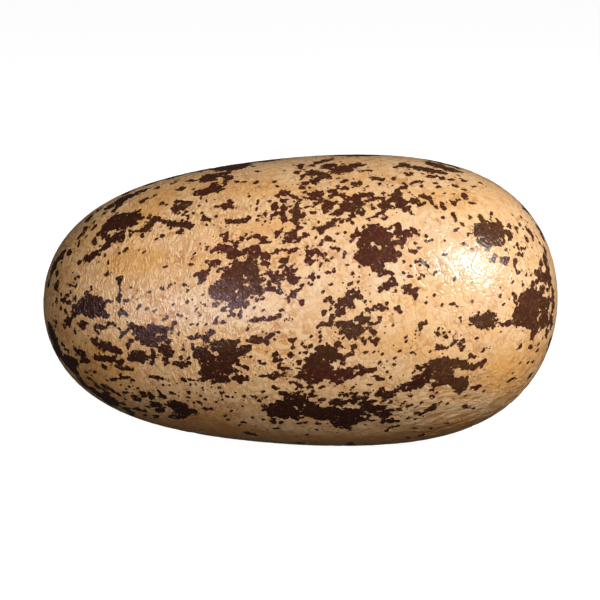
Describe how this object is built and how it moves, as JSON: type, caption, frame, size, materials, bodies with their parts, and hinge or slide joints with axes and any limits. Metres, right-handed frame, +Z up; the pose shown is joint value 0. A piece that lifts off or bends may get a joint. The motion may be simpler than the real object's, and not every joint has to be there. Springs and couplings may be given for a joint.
{
  "type": "fossil theropod egg",
  "caption": "Fossil dinosaur egg, long and blunt at one end, lying on its side: cream and ochre shell with chocolate blotches, fine wrinkles and a varnished gloss.",
  "frame": {"origin": "on the surface that the egg lies on, under the middle of its length and width", "axes": "+X along the egg towards its blunt end, +Y away from the viewer of the picture, +Z up"},
  "size_m": [0.1598, 0.0906, 0.0896],
  "materials": {
    "speckled_shell": "varnished cream and ochre shell, finely wrinkled, with ragged chocolate blotches and specks"
  },
  "bodies": {
    "root": {"egg": "speckled_shell"}
  },
  "joints": []
}
